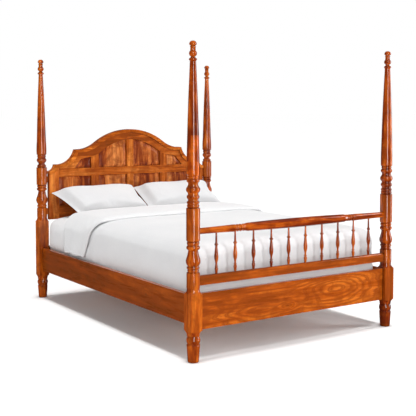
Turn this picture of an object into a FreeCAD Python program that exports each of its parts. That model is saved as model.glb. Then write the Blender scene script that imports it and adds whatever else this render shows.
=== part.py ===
import FreeCAD, Part
import os
import Sketcher

# Miniature four poster bed, millimetres.
# X runs across the bed, Y along it with the head at +Y, Z up. The origin is on
# the floor at the middle of the four posts.

os.makedirs("parts", exist_ok=True)
doc = FreeCAD.newDocument("FourPosterBed")
V = FreeCAD.Vector

# ---------------------------------------------------------------- driving sizes
SIZES = {
    "post_height": 165.0,        # floor to the top of the finial
    "spread_x": 138.0,           # post centre to post centre, across
    "spread_y": 193.0,           # post centre to post centre, along
    "block_side": 6.9,           # square part of each post
    "turned_radius": 3.62,       # largest plain cylinder on the foot posts
    "rail_thick": 2.4,
    "rail_low": 19.0,            # side rails
    "rail_top": 34.6,
    "foot_rail_low": 16.5,
    "foot_rail_top": 35.4,
    "tenon_long": 2.2,
    "tenon_thick": 1.3,
    "tenon_shy": 2.2,            # how much lower and higher a rail is than its tenon
    "ledger_low": 26.5,
    "ledger_high": 3.0,
    "ledger_wide": 2.4,
    "slat_thick": 1.5,
    "slat_wide": 9.0,
    "slat_pitch": 24.0,
    "lower_rail_low": 39.6,      # footboard lower rail
    "lower_rail_high": 5.0,
    "lower_rail_thick": 3.0,
    "top_rail_axis": 67.6,       # turned top rail of the footboard
    "top_rail_end": 1.6,
    "top_rail_mid": 2.65,
    "spindle_pitch": 12.13,
    "spindle_radius": 1.15,
    "spindle_pin": 0.5,
    "headboard_low": 54.0,
    "headboard_rail": 9.3,
    "mid_rail_low": 83.6,
    "mid_rail_top": 89.2,
    "headboard_thick": 3.0,
    "stile_outer": 64.2,
    "stile_inner": 56.7,
    "muntin_outer": 31.5,
    "muntin_inner": 25.5,
    "muntin_half": 2.75,
    "panel_thick": 2.0,
    "tongue_deep": 0.8,
    "tongue_thick": 1.0,
    "moulding_deep": 2.2,
    "moulding_out": 1.1,
    "mattress_half_x": 65.0,
    "mattress_foot": 90.6,
    "mattress_head": 93.5,
    "mattress_bulge_x": 66.9,
    "mattress_top": 57.0,
    "duvet_half_x": 67.2,
    "duvet_foot": 92.4,
    "duvet_head": 63.0,
    "duvet_low": 33.4,
    "duvet_top": 61.2,
    "turn_down_front": 17.0,
    "turn_down_top": 63.6,
    "soft_gap": 0.3,
    "fold_half_x": 68.7,
    "fold_low": 35.6,
    "pillow_long": 63.6,
    "pillow_run": 26.6,
    "pillow_edge": 3.0,
    "pillow_offset": 32.7,
    "pillow_front": 65.6,
    "pillow_rise": 16.4,
}
sheet = doc.addObject("Spreadsheet::Sheet", "Sizes")
for row, (alias, number) in enumerate(SIZES.items(), start=1):
    sheet.set("A%d" % row, alias)
    sheet.set("B%d" % row, str(number))
    sheet.setAlias("B%d" % row, alias)
doc.recompute()


def value(text):
    """The number an expression gives with the sheet as it stands."""
    return float(sheet.evalExpression(text.replace("Sizes.", "")))


def with_sheet(text):
    """Puts the sheet's name before each alias in an expression."""
    out, word = "", ""
    for ch in text + " ":
        if ch.isalnum() or ch in "_.":
            word += ch
            continue
        out += ("Sizes." + word if word in SIZES else word) + ch
        word = ""
    return out.strip()


NODES = []


def new_body(name):
    body = doc.addObject("PartDesign::Body", name)
    body.Label = name
    NODES.append(body)
    return body


def origin_item(body, role):
    return next(f for f in body.Origin.OriginFeatures if f.Role == role)


def bind(obj, prop, text):
    obj.setExpression(prop, with_sheet(text))


def block(body, name, size, corner, cut=False):
    """A box feature: size and lowest corner are expressions on the sheet."""
    kind = "PartDesign::SubtractiveBox" if cut else "PartDesign::AdditiveBox"
    box = body.newObject(kind, name)
    for prop, text in zip(("Length", "Width", "Height"), size):
        bind(box, prop, text)
    for axis, text in zip("xyz", corner):
        bind(box, "Placement.Base." + axis, text)
    return box


AXIS_TURN = {
    "X": FreeCAD.Rotation(V(0, 1, 0), 90),
    "Y": FreeCAD.Rotation(V(1, 0, 0), -90),
    "Z": FreeCAD.Rotation(),
}


def rod(body, name, radius, length, start, axis, cut=False):
    """A cylinder feature along one axis, starting at a point."""
    kind = "PartDesign::SubtractiveCylinder" if cut else "PartDesign::AdditiveCylinder"
    cyl = body.newObject(kind, name)
    cyl.Placement = FreeCAD.Placement(V(0, 0, 0), AXIS_TURN[axis])
    bind(cyl, "Radius", radius)
    bind(cyl, "Height", length)
    for letter, text in zip("xyz", start):
        bind(cyl, "Placement.Base." + letter, text)
    return cyl


def outline_sketch(body, name, role, loops, lift=None):
    """A sketch of closed loops. Each point is (x, y, bulge): x and y are
    expressions, and bulge is the rise of the edge that leaves the point, as a
    part of its chord, to the right of the way it runs. Each point is held to
    the origin by two bound distances and each arc by a bound radius."""
    sk = body.newObject("Sketcher::SketchObject", name)
    sk.AttachmentSupport = [(origin_item(body, role), "")]
    sk.MapMode = "FlatFace"
    if lift is not None:
        bind(sk, "AttachmentOffset.Base.z", lift)
    shapes, held, bound = [], [], []
    for loop in loops:
        spots = [V(value(x), value(y), 0) for x, y, _ in loop]
        first = len(shapes)
        count = len(loop)
        for i, (x, y, bulge) in enumerate(loop):
            here, there = spots[i], spots[(i + 1) % count]
            following = loop[(i + 1) % count][2]
            # an arc that bulges to the left is stored from its far end
            start, end = (2, 1) if bulge < 0 else (1, 2)
            next_start = 2 if following < 0 else 1
            this, after = first + i, first + (i + 1) % count
            if abs(bulge) < 1e-6:
                shapes.append(Part.LineSegment(here, there))
            else:
                run = there - here
                side = V(run.y, -run.x, 0) * bulge
                arc = Part.Arc(here, (here + there) * 0.5 + side, there)
                shapes.append(arc)
            held.append(Sketcher.Constraint("Coincident", this, end, after, next_start))
            for kind, text, number in (("DistanceX", x, here.x), ("DistanceY", y, here.y)):
                if abs(number) < 1e-9:
                    axis_line = -2 if kind == "DistanceX" else -1
                    held.append(Sketcher.Constraint("PointOnObject", this, start, axis_line))
                else:
                    bound.append((len(held), text))
                    held.append(Sketcher.Constraint(kind, -1, 1, this, start, number))
            if abs(bulge) > 1e-6:
                chord = (there - here).Length
                radius = chord * (1 + 4 * bulge * bulge) / (8 * abs(bulge))
                bound.append((len(held), "post_height * %.7f" % (radius / SIZES["post_height"])))
                held.append(Sketcher.Constraint("Radius", this, radius))
    sk.addGeometry(shapes)
    sk.addConstraint(held)
    for index, text in bound:
        sk.setExpression("Constraints[%d]" % index, with_sheet(text))
    return sk


def pad(body, name, sketch, length, midplane=True, cut=False):
    feature = body.newObject("PartDesign::Pocket" if cut else "PartDesign::Pad", name)
    feature.Profile = sketch
    bind(feature, "Length", length)
    feature.Midplane = midplane
    return feature


# ---------------------------------------------------------------- turned pieces
def bead(low, high, seat, crown):
    """A rounded ring on a turning: level from and to, its seat and crown radii."""
    return [(low, seat, crown), (high, seat, None)]


def turned_loop(stations, scale="post_height"):
    """The closed half section of a turning, from (level, radius, crown) stations.
    A crown is the radius that the arc to the next station reaches half way."""
    loop = [("0", "0", 0.0)]
    heights = SIZES[scale]
    for i, (level, radius, crown) in enumerate(stations):
        rise = 0.0
        if crown is not None:
            level2, radius2, _ = stations[i + 1]
            chord = ((level2 - level) ** 2 * heights ** 2 + (radius2 - radius) ** 2) ** 0.5
            rise = (crown - (radius + radius2) / 2) / chord
        # each radius is a share of the plain cylinder's radius
        share = radius / SIZES["turned_radius"]
        loop.append(("turned_radius * %.4f" % share, "%s * %.4f" % (scale, level), rise))
    last = stations[-1]
    loop[-1] = (loop[-1][0], loop[-1][1], 0.0)
    if last[1] > 1e-6:
        loop.append(("0", "%s * %.4f" % (scale, last[0]), 0.0))
    else:
        loop[-1] = ("0", "%s * %.4f" % (scale, last[0]), 0.0)
    return loop


FINIAL = (
    bead(0.9395, 0.9458, 1.75, 2.10)
    + [(0.9490, 1.15, 1.10), (0.9520, 1.28, 2.04), (0.9690, 1.42, None), (0.9790, 1.36, 1.54),
       (0.9832, 1.30, 1.28), (0.9860, 1.62, 1.92), (0.9930, 1.80, 1.36), (1.0, 0.30, None)]
)
FOOT_POST = (
    [(0.0, 2.75, None), (0.004, 2.95, None), (0.054, 3.50, None), (0.0570, 3.15, None)]
    + bead(0.0595, 0.0790, 3.20, 3.62)
    + [(0.0830, 3.05, None), (0.2300, 3.05, None), (0.2322, 3.50, None),
       (0.2815, 3.50, None), (0.2840, 2.90, None)]
    + bead(0.2855, 0.2925, 2.85, 3.05)
    + bead(0.2935, 0.3010, 2.95, 3.42)
    + [(0.3030, 2.90, 3.80), (0.3270, 3.52, 2.95), (0.3510, 2.57, None)]
    + bead(0.3535, 0.3665, 2.95, 3.57)
    + bead(0.3680, 0.3795, 2.95, 3.32)
    + [(0.3815, 3.50, None), (0.3835, 3.62, None), (0.4815, 3.62, None), (0.4835, 3.45, None)]
    + bead(0.4850, 0.4950, 2.90, 3.22)
    + bead(0.4965, 0.5045, 2.90, 3.27)
    + [(0.5065, 2.70, None)]
    + bead(0.5115, 0.5245, 2.75, 3.32)
    + [(0.5290, 2.72, None), (0.5310, 2.85, 3.66), (0.5475, 3.35, 2.80), (0.5580, 2.57, None)]
    + bead(0.5625, 0.5750, 2.75, 3.38)
    + bead(0.5770, 0.5840, 2.75, 2.98)
    + [(0.5865, 3.22, None), (0.5895, 3.34, 3.36), (0.6530, 3.24, 2.58), (0.9370, 1.60, None)]
    + FINIAL
)
HEAD_POST = (
    [(0.0, 2.65, None), (0.004, 2.80, None), (0.0500, 3.36, None), (0.0530, 3.05, None)]
    + bead(0.0555, 0.0750, 3.15, 3.55)
    + [(0.0790, 3.05, None), (0.3370, 3.05, None), (0.3400, 3.42, None),
       (0.3780, 3.42, None), (0.3800, 2.90, None)]
    + bead(0.3820, 0.3925, 2.90, 3.28)
    + [(0.3955, 2.85, 3.88), (0.4230, 3.50, 2.80), (0.4500, 2.40, None)]
    + bead(0.4525, 0.4640, 2.80, 3.42)
    + bead(0.4655, 0.4745, 2.80, 3.28)
    + [(0.4765, 3.45, None), (0.4785, 3.57, None), (0.5475, 3.57, None), (0.5490, 3.40, None)]
    + bead(0.5500, 0.5590, 2.75, 3.07)
    + [(0.5600, 2.60, 2.12), (0.5700, 2.55, None)]
    + bead(0.5710, 0.5880, 2.65, 3.30)
    + bead(0.5905, 0.6010, 2.70, 2.92)
    + [(0.6035, 3.25, None), (0.6065, 3.36, 3.38), (0.6600, 3.12, 2.42), (0.9370, 1.42, None)]
    + FINIAL
)


def turned_post(name, stations, block_low, block_top, x_side, y_side):
    """One post: a turning with a square block whose ends are turned to a curve."""
    body = new_body(name)
    sk = outline_sketch(body, name + "_section", "XZ_Plane", [turned_loop(stations)])
    turning = body.newObject("PartDesign::Revolution", name + "_turning")
    turning.Profile = sk
    turning.ReferenceAxis = (sk, ["V_Axis"])
    turning.Angle = 360
    body.Tip = turning
    low, top = "post_height * %.4f" % block_low, "post_height * %.4f" % block_top
    block(body, name + "_block",
          ("block_side", "block_side", "%s - %s" % (top, low)),
          ("-block_side / 2", "-block_side / 2", low))
    # the lathe rounds the corners of the block away at both ends
    far = "block_side * 0.80"
    near = "block_side * 0.485"
    for part, end, inward in (("under", low, 1), ("over", top, -1)):
        reach = "%s + block_side * %.2f" % (end, inward * 0.42)
        past = "%s - %.2f" % (end, inward * 0.4)
        loop = [(near, past, 0.0), (near, end, -0.16 * inward),
                ("block_side * 0.72", reach, 0.0), (far, reach, 0.0), (far, past, 0.0)]
        ring = outline_sketch(body, name + "_" + part, "XZ_Plane", [loop])
        cut = body.newObject("PartDesign::Groove", name + "_" + part + "_turned")
        cut.Profile = ring
        cut.ReferenceAxis = (ring, ["V_Axis"])
        cut.Angle = 360
    bind(body, "Placement.Base.x", "%d * spread_x / 2" % x_side)
    bind(body, "Placement.Base.y", "%d * spread_y / 2" % y_side)
    return body


def mortise(body, name, toward, thick, low, high, deep, face):
    """A slot in a post, opening toward +X, -X, +Y or -Y at a distance face."""
    sign = 1 if toward[0] == "+" else -1
    run = "-(%s)" % face if sign < 0 else "%s - (%s)" % (face, deep)
    size = ((deep, thick, "%s - (%s)" % (high, low)) if toward[1] == "X"
            else (thick, deep, "%s - (%s)" % (high, low)))
    corner = ((run, "-(%s) / 2" % thick, low) if toward[1] == "X"
              else ("-(%s) / 2" % thick, run, low))
    return block(body, name, size, corner, cut=True)


SIDES = (("left", -1), ("right", 1))
slack = " + 0.02"
for word, x_side in SIDES:
    inward = "+X" if x_side < 0 else "-X"
    foot = turned_post("post_foot_" + word, FOOT_POST, 0.0830, 0.2320, x_side, -1)
    mortise(foot, foot.Name + "_side_mortise", "+Y", "tenon_thick" + slack,
            "rail_low + tenon_shy - 0.01", "rail_top - tenon_shy + 0.01",
            "tenon_long + 0.1", "block_side / 2")
    mortise(foot, foot.Name + "_rail_mortise", inward, "tenon_thick" + slack,
            "foot_rail_low + tenon_shy - 0.01", "foot_rail_top - tenon_shy + 0.01",
            "tenon_long + 0.1", "block_side / 2")
    mortise(foot, foot.Name + "_lower_mortise", inward, "tenon_thick" + slack,
            "lower_rail_low + 0.79", "lower_rail_low + lower_rail_high - 0.79",
            "tenon_long + 0.6", "block_side / 2 + 0.5")
    # the whole end of the lower rail is let a little way into the round of the post
    mortise(foot, foot.Name + "_lower_housing", inward, "lower_rail_thick" + slack,
            "lower_rail_low - 0.01", "lower_rail_low + lower_rail_high + 0.02",
            "1.5", "block_side / 2 + 1.14")
    rod(foot, foot.Name + "_top_bore", "top_rail_end + 0.01", "turned_radius",
        ("%s" % ("1.9" if x_side < 0 else "-1.9 - turned_radius"), "0", "top_rail_axis"),
        "X", cut=True)
    head = turned_post("post_head_" + word, HEAD_POST, 0.0790, 0.3395, x_side, 1)
    mortise(head, head.Name + "_side_mortise", "-Y", "tenon_thick" + slack,
            "rail_low + tenon_shy - 0.01", "rail_top - tenon_shy + 0.01",
            "tenon_long + 0.1", "block_side / 2")
    mortise(head, head.Name + "_rail_mortise", inward, "tenon_thick" + slack,
            "foot_rail_low + tenon_shy - 0.01", "foot_rail_top - tenon_shy + 0.01",
            "tenon_long + 0.1", "block_side / 2")
    for low_or_high, level in (("low", "headboard_low + 3.3"), ("high", "mid_rail_low - 4")):
        mortise(head, "%s_%s_lug_mortise" % (head.Name, low_or_high), inward,
                "tenon_thick" + slack, level + " + 0.29", level + " + 4.61",
                "3.2", "block_side / 2 + 0.7")

# ---------------------------------------------------------------- bed rails
for word, x_side in SIDES:
    rail = new_body("side_rail_" + word)
    block(rail, rail.Name + "_board",
          ("rail_thick", "spread_y - block_side", "rail_top - rail_low"),
          ("-rail_thick / 2", "-(spread_y - block_side) / 2", "rail_low"))
    block(rail, rail.Name + "_tenons",
          ("tenon_thick", "spread_y - block_side + 2 * tenon_long",
           "rail_top - rail_low - 2 * tenon_shy"),
          ("-tenon_thick / 2", "-(spread_y - block_side) / 2 - tenon_long",
           "rail_low + tenon_shy"))
    bind(rail, "Placement.Base.x", "%d * spread_x / 2" % x_side)
    ledger = new_body("ledger_" + word)
    block(ledger, ledger.Name + "_strip",
          ("ledger_wide", "spread_y - block_side - 6", "ledger_high"),
          ("-ledger_wide / 2", "-(spread_y - block_side - 6) / 2", "ledger_low"))
    bind(ledger, "Placement.Base.x",
         "%d * (spread_x / 2 - rail_thick / 2 - ledger_wide / 2)" % x_side)
for word, y_side in (("foot", -1), ("head", 1)):
    rail = new_body(word + "_rail")
    block(rail, rail.Name + "_board",
          ("spread_x - block_side", "rail_thick", "foot_rail_top - foot_rail_low"),
          ("-(spread_x - block_side) / 2", "-rail_thick / 2", "foot_rail_low"))
    block(rail, rail.Name + "_tenons",
          ("spread_x - block_side + 2 * tenon_long", "tenon_thick",
           "foot_rail_top - foot_rail_low - 2 * tenon_shy"),
          ("-(spread_x - block_side) / 2 - tenon_long", "-tenon_thick / 2",
           "foot_rail_low + tenon_shy"))
    bind(rail, "Placement.Base.y", "%d * spread_y / 2" % y_side)
SLATS = 8
for i in range(SLATS):
    slat = new_body("slat_%d" % (i + 1))
    block(slat, slat.Name + "_board",
          ("spread_x - rail_thick - 0.4", "slat_wide", "slat_thick"),
          ("-(spread_x - rail_thick - 0.4) / 2", "-slat_wide / 2",
           "ledger_low + ledger_high"))
    bind(slat, "Placement.Base.y", "slat_pitch * %.1f" % (i - (SLATS - 1) / 2))

# ---------------------------------------------------------------- footboard
lower = new_body("footboard_lower_rail")
EDGE = "lower_rail_thick / 2"
section = [("-" + EDGE, "lower_rail_low", 0.0), (EDGE, "lower_rail_low", 0.0),
           (EDGE, "lower_rail_low + lower_rail_high - 1.1", 0.37),
           ("-" + EDGE, "lower_rail_low + lower_rail_high - 1.1", 0.0)]
sk = outline_sketch(lower, "lower_rail_section", "YZ_Plane", [section])
lower.Tip = pad(lower, "lower_rail_board", sk, "spread_x - 6.2")
block(lower, "lower_rail_tenons",
      ("spread_x - 5", "tenon_thick", "lower_rail_high - 1.6"),
      ("-(spread_x - 5) / 2", "-tenon_thick / 2", "lower_rail_low + 0.8"))
LOWER_TOP = "lower_rail_low + lower_rail_high"
bore = rod(lower, "lower_rail_bore", "spindle_pin + 0.01", "1.9",
           ("-4.5 * spindle_pitch", "0", LOWER_TOP + " - 1.5"), "Z", cut=True)
doc.recompute()
bores = lower.newObject("PartDesign::LinearPattern", "lower_rail_bores")
bores.Originals = [bore]
bores.Direction = (origin_item(lower, "X_Axis"), [""])
bind(bores, "Length", "9 * spindle_pitch")
bores.Occurrences = 10
lower.Tip = bores
bind(lower, "Placement.Base.y", "-spread_y / 2")

top = new_body("footboard_top_rail")
END = "top_rail_end"
half = "spread_x / 2 - 2"


def top_point(reach, radius, bulge=0.0):
    return ("%s * (%s)" % (reach, half), radius, bulge)


# each ring: its place as a share of the half length, and its crown's radius
rings = [(0.628, 2.30), (0.600, 2.55), (0.572, 2.30)]
ring_foot, ring_reach, ring_width = 1.95, 0.0125, 1.68
# the long swelling starts here, at this share of the middle's radius
swell_start, swell_share = 0.515, 0.84
right = [top_point("1", END), top_point("0.80", "top_rail_end * 1.08"),
         top_point("0.655", "top_rail_end * 1.22")]
for ring, crown in rings:
    right += [top_point("%.3f" % (ring + ring_reach), str(ring_foot), -(crown - ring_foot) / ring_width),
              top_point("%.3f" % (ring - ring_reach), str(ring_foot))]
right += [top_point("0.545", "1.85"),
          top_point(str(swell_start), "top_rail_mid * %s" % swell_share)]
loop = [("-1 * (%s)" % half, "0", 0.0), (half, "0", 0.0)] + right
swell = (SIZES["top_rail_mid"] - SIZES["top_rail_mid"] * swell_share) / (
    2 * swell_start * value(half))
loop[-1] = (loop[-1][0], loop[-1][1], swell)
mirrored = []
count = len(right)
for i in range(count - 1, -1, -1):
    x, y, _ = right[i]
    bulge = right[i - 1][2] if i > 0 else 0.0
    mirrored.append(("-1 * (%s)" % x, y, bulge))
loop += mirrored
sk = outline_sketch(top, "top_rail_section", "XZ_Plane", [loop])
turning = top.newObject("PartDesign::Revolution", "top_rail_turning")
turning.Profile = sk
turning.ReferenceAxis = (sk, ["H_Axis"])
turning.Angle = 360
top.Tip = turning
bore = rod(top, "top_rail_bore", "spindle_pin + 0.01", "1.9",
           ("-4.5 * spindle_pitch", "0", "-3.0"), "Z", cut=True)
doc.recompute()
bores = top.newObject("PartDesign::LinearPattern", "top_rail_bores")
bores.Originals = [bore]
bores.Direction = (origin_item(top, "X_Axis"), [""])
bind(bores, "Length", "9 * spindle_pitch")
bores.Occurrences = 10
top.Tip = bores
bind(top, "Placement.Base.y", "-spread_y / 2")
bind(top, "Placement.Base.z", "top_rail_axis")

# spindles: pins in the bores, a bead near the top, a long swell and a ring low down
SPINDLE = (
    [(0.000, 0.50, None), (0.0091, 0.50, None), (0.0093, 0.62, None), (0.0120, 0.70, 0.74),
     (0.0210, 0.86, 0.92), (0.0290, 0.60, None)]
    + bead(0.0300, 0.0335, 0.60, 0.86)
    + [(0.0350, 0.58, 0.60), (0.0520, 0.98, 1.14), (0.0740, 0.98, 0.80), (0.0960, 0.62, None)]
    + bead(0.0975, 0.1045, 0.62, 1.02)
    + [(0.1060, 0.60, 0.56), (0.1215, 0.52, None), (0.1300, 0.50, None),
       (0.1409, 0.50, None)]
)
for i in range(10):
    spindle = new_body("spindle_%02d" % (i + 1))
    sk = outline_sketch(spindle, spindle.Name + "_section", "XZ_Plane", [turned_loop(SPINDLE)])
    turning = spindle.newObject("PartDesign::Revolution", spindle.Name + "_turning")
    turning.Profile = sk
    turning.ReferenceAxis = (sk, ["V_Axis"])
    turning.Angle = 360
    spindle.Tip = turning
    bind(spindle, "Placement.Base.x", "spindle_pitch * %.1f" % (i - 4.5))
    bind(spindle, "Placement.Base.y", "-spread_y / 2")
    bind(spindle, "Placement.Base.z", LOWER_TOP + " - 1.45")

# ---------------------------------------------------------------- headboard
def grown(points, by):
    """The same outline with each corner moved out square to both its edges."""
    area = sum(p[0] * q[1] - q[0] * p[1] for p, q in zip(points, points[1:] + points[:1]))
    turn = 1.0 if area > 0 else -1.0
    moved = []
    for i, (x, z, bulge) in enumerate(points):
        before, after = points[i - 1], points[(i + 1) % len(points)]
        one = V(x - before[0], z - before[1], 0).normalize()
        two = V(after[0] - x, after[1] - z, 0).normalize()
        out_one, out_two = V(one.y, -one.x, 0) * turn, V(two.y, -two.x, 0) * turn
        mitre = (out_one + out_two) * (by / (1 + out_one.dot(out_two)))
        moved.append((x + mitre.x, z + mitre.y, bulge))
    return moved


def as_loop(points):
    """Numbers in the plane of the headboard, turned into shares of the bed's size."""
    return [("spread_x * %.5f" % (x / SIZES["spread_x"]),
             "post_height * %.5f" % (z / SIZES["post_height"]), bulge)
            for x, z, bulge in points]


def mirrored_run(points):
    """A run from left to the middle, carried on to the right."""
    back = []
    for i in range(len(points) - 1, -1, -1):
        x, z, _ = points[i]
        back.append((-x, z, points[i - 1][2] if i else 0.0))
    if abs(points[-1][0]) < 1e-6:
        return points[:-1] + back
    return points + back


OUTER, INNER = SIZES["stile_outer"], SIZES["stile_inner"]
LOW, LOW_TOP = SIZES["headboard_low"], SIZES["headboard_low"] + SIZES["headboard_rail"]
MID, MID_TOP = SIZES["mid_rail_low"], SIZES["mid_rail_top"]
M_OUT, M_IN, M_HALF = SIZES["muntin_outer"], SIZES["muntin_inner"], SIZES["muntin_half"]
DEEP = SIZES["moulding_deep"]
# top outline of the moulding: a scoop at the post, a scoop at the shoulder, an ogee
crest = [(-OUTER, 87.7, 0.19), (-59.6, 92.25, 0.0), (-55.8, 92.25, 0.16), (-43.9, 102.4, 0.0),
         (-38.8, 102.6, 0.066), (-27.0, 107.6, -0.077), (0.0, 116.4, 0.0)]
under = []
for x, z, bulge in crest:
    lean = 0.72 * DEEP * min(1.0, abs(x) / 27.0)
    under.append((x + lean, z - DEEP, bulge))
under[0] = (-OUTER, crest[0][1] - DEEP * 0.85, 0.20)
# where the panels' tops meet the crest rail
arch = [(-44.9, MID_TOP, 0.0), (-39.6, 95.6, -0.02), (-M_OUT, 97.0, 0.0),
        (-M_IN, 99.2, -0.075), (-M_HALF, 109.0, 0.0)]
under_scoop = under[2]

headboard = []


def headboard_piece(name):
    body = new_body(name)
    bind(body, "Placement.Base.y", "spread_y / 2")
    headboard.append(body)
    return body


THICK = "headboard_thick"
TONGUE = "tongue_thick"
TD = SIZES["tongue_deep"]


def groove(body, name, low_x, high_x, low_z, high_z):
    """A groove for the panels' tongues, down the middle of the thickness."""
    return block(body, name, ("%.3f" % (high_x - low_x), TONGUE + slack, "%.3f" % (high_z - low_z)),
                 ("%.3f" % low_x, "-(tongue_thick + 0.02) / 2", "%.3f" % low_z), cut=True)


def tongue(body, name, low_x, high_x, low_z, high_z):
    return block(body, name, ("%.3f" % (high_x - low_x), TONGUE, "%.3f" % (high_z - low_z)),
                 ("%.3f" % low_x, "-tongue_thick / 2", "%.3f" % low_z))


# stiles, with two lugs each into the turned posts
for word, x_side in SIDES:
    stile = headboard_piece("headboard_stile_" + word)
    # the crest's scoop shapes the top of the stile
    top_of = [(-INNER, LOW, 0.0), (-INNER, under_scoop[1], 0.0), (under[1][0], under[1][1], -0.20),
              (-OUTER, under[0][1], 0.0), (-OUTER, LOW, 0.0)]
    if under[1][0] >= -INNER - 0.2:
        top_of[1:3] = [(-INNER, under[1][1] - 0.3, -0.20)]
    if x_side > 0:
        flipped = [(-x, z, 0.0) for x, z, _ in top_of][::-1]
        bulges = [b for _, _, b in top_of]
        turned = []
        for i, (x, z, _) in enumerate(flipped):
            turned.append((x, z, bulges[(len(bulges) - 2 - i) % len(bulges)]))
        top_of = turned
    sk = outline_sketch(stile, stile.Name + "_outline", "XZ_Plane", [as_loop(top_of)])
    stile.Tip = pad(stile, stile.Name + "_board", sk, THICK)
    for low_or_high, level in (("low", "headboard_low + 3.3"), ("high", "mid_rail_low - 4")):
        block(stile, "%s_%s_lug" % (stile.Name, low_or_high),
              ("spread_x / 2 - stile_outer - 0.6", "tenon_thick", "4.3"),
              ("stile_outer - 0.5" if x_side > 0 else "-(spread_x / 2) + 1.1",
               "-tenon_thick / 2", level + " + 0.3"))
    x_low = -INNER - TD - 0.02 if x_side < 0 else INNER - 0.5
    groove(stile, stile.Name + "_groove", x_low, x_low + TD + 0.52, LOW + 0.7, MID_TOP - 0.69)

for name, low, high, grooves in (
        ("headboard_bottom_rail", LOW, LOW_TOP, (LOW_TOP,)),
        ("headboard_middle_rail", MID, MID_TOP, (MID, MID_TOP))):
    rail = headboard_piece(name)
    block(rail, name + "_board", ("2 * stile_inner", THICK, "%.3f" % (high - low)),
          ("-stile_inner", "-headboard_thick / 2", "%.3f" % low))
    tongue(rail, name + "_tenons", -INNER - TD, INNER + TD, low + 0.9, high - 0.9)
    for i, level in enumerate(grooves):
        start = level - TD - 0.02 if level > low else level - 0.3
        groove(rail, "%s_groove_%d" % (name, i), -INNER, INNER, start, start + TD + 0.32)

# muntins: three below the middle rail, three above it
for row, low in (("lower", LOW_TOP), ("upper", MID_TOP)):
    for place, x_low, x_high in (("left", -M_OUT, -M_IN), ("centre", -M_HALF, M_HALF),
                                 ("right", M_IN, M_OUT)):
        muntin = headboard_piece("headboard_%s_muntin_%s" % (row, place))
        if row == "lower":
            left_top = right_top = MID
        else:
            left_top = {"left": 97.0, "centre": 109.0, "right": 99.2}[place]
            right_top = {"left": 99.2, "centre": 109.0, "right": 97.0}[place]
        shape = [(x_low, low, 0.0), (x_high, low, 0.0), (x_high, right_top, 0.0),
                 (x_low, left_top, 0.0)]
        sk = outline_sketch(muntin, muntin.Name + "_outline", "XZ_Plane", [as_loop(shape)])
        muntin.Tip = pad(muntin, muntin.Name + "_board", sk, THICK)
        stub = [(x_low, low - TD, 0.0), (x_high, low - TD, 0.0),
                (x_high, right_top + TD, 0.0), (x_low, left_top + TD, 0.0)]
        sk = outline_sketch(muntin, muntin.Name + "_stubs", "XZ_Plane", [as_loop(stub)])
        muntin.Tip = pad(muntin, muntin.Name + "_tongues", sk, TONGUE)
        for edge, start in (("near", x_low - 0.3), ("far", x_high - TD - 0.02)):
            groove(muntin, "%s_%s_groove" % (muntin.Name, edge), start, start + TD + 0.32,
                   low - TD - 0.1, max(left_top, right_top) + TD + 0.1)

# crest rail, arched over the upper panels
crest_rail = headboard_piece("headboard_crest_rail")
top_run = mirrored_run([(-INNER, under_scoop[1], 0.0)] + under[2:])
low_run = mirrored_run(arch)
back_run = []
for i in range(len(low_run) - 1, -1, -1):
    x, z, _ = low_run[i]
    back_run.append((x, z, -low_run[i - 1][2] if i else 0.0))
rail_loop = top_run + [(INNER, MID_TOP, 0.0)] + back_run + [(-INNER, MID_TOP, 0.0)]
sk = outline_sketch(crest_rail, "crest_rail_outline", "XZ_Plane", [as_loop(rail_loop)])
crest_rail.Tip = pad(crest_rail, "crest_rail_board", sk, THICK)
bay = grown(low_run, TD + 0.5)
sk = outline_sketch(crest_rail, "crest_rail_bay", "XZ_Plane", [as_loop(bay)])
crest_rail.Tip = pad(crest_rail, "crest_rail_groove", sk, TONGUE + slack, cut=True)

# raised and fielded panels
field_in = 2.5
openings = []
for side in (-1, 1):
    word = "left" if side < 0 else "right"
    openings.append(("lower_panel_outer_" + word,
                     [(-INNER, LOW_TOP, 0.0), (-M_OUT, LOW_TOP, 0.0), (-M_OUT, MID, 0.0),
                      (-INNER, MID, 0.0)], side))
    openings.append(("lower_panel_inner_" + word,
                     [(-M_IN, LOW_TOP, 0.0), (-M_HALF, LOW_TOP, 0.0), (-M_HALF, MID, 0.0),
                      (-M_IN, MID, 0.0)], side))
    openings.append(("upper_panel_outer_" + word,
                     [(-44.9, MID_TOP, 0.0), (-M_OUT, MID_TOP, 0.0), (-M_OUT, 97.0, 0.02),
                      (-39.6, 95.6, 0.0)], side))
    openings.append(("upper_panel_inner_" + word,
                     [(-M_IN, MID_TOP, 0.0), (-M_HALF, MID_TOP, 0.0), (-M_HALF, 109.0, 0.075),
                      (-M_IN, 99.2, 0.0)], side))


def flipped_loop(points):
    back = []
    for i in range(len(points) - 1, -1, -1):
        x, z, _ = points[i]
        back.append((-x, z, points[i - 1][2]))
    return back


for name, hole, side in openings:
    if side > 0:
        hole = flipped_loop(hole)
    panel = headboard_piece("headboard_" + name)
    sk = outline_sketch(panel, panel.Name + "_tongue", "XZ_Plane", [as_loop(grown(hole, TD - 0.02))])
    panel.Tip = pad(panel, panel.Name + "_board", sk, TONGUE)
    base = outline_sketch(panel, panel.Name + "_bevel_foot", "XZ_Plane",
                          [as_loop(grown(hole, -0.12))], lift="tongue_thick / 2 - 0.05")
    crown = outline_sketch(panel, panel.Name + "_field", "XZ_Plane",
                           [as_loop(grown(hole, -field_in))], lift="panel_thick / 2 + 0.15")
    raised = panel.newObject("PartDesign::AdditiveLoft", panel.Name + "_raised")
    raised.Profile = base
    raised.Sections = [crown]
    raised.Ruled = True
    panel.Tip = raised

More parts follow.
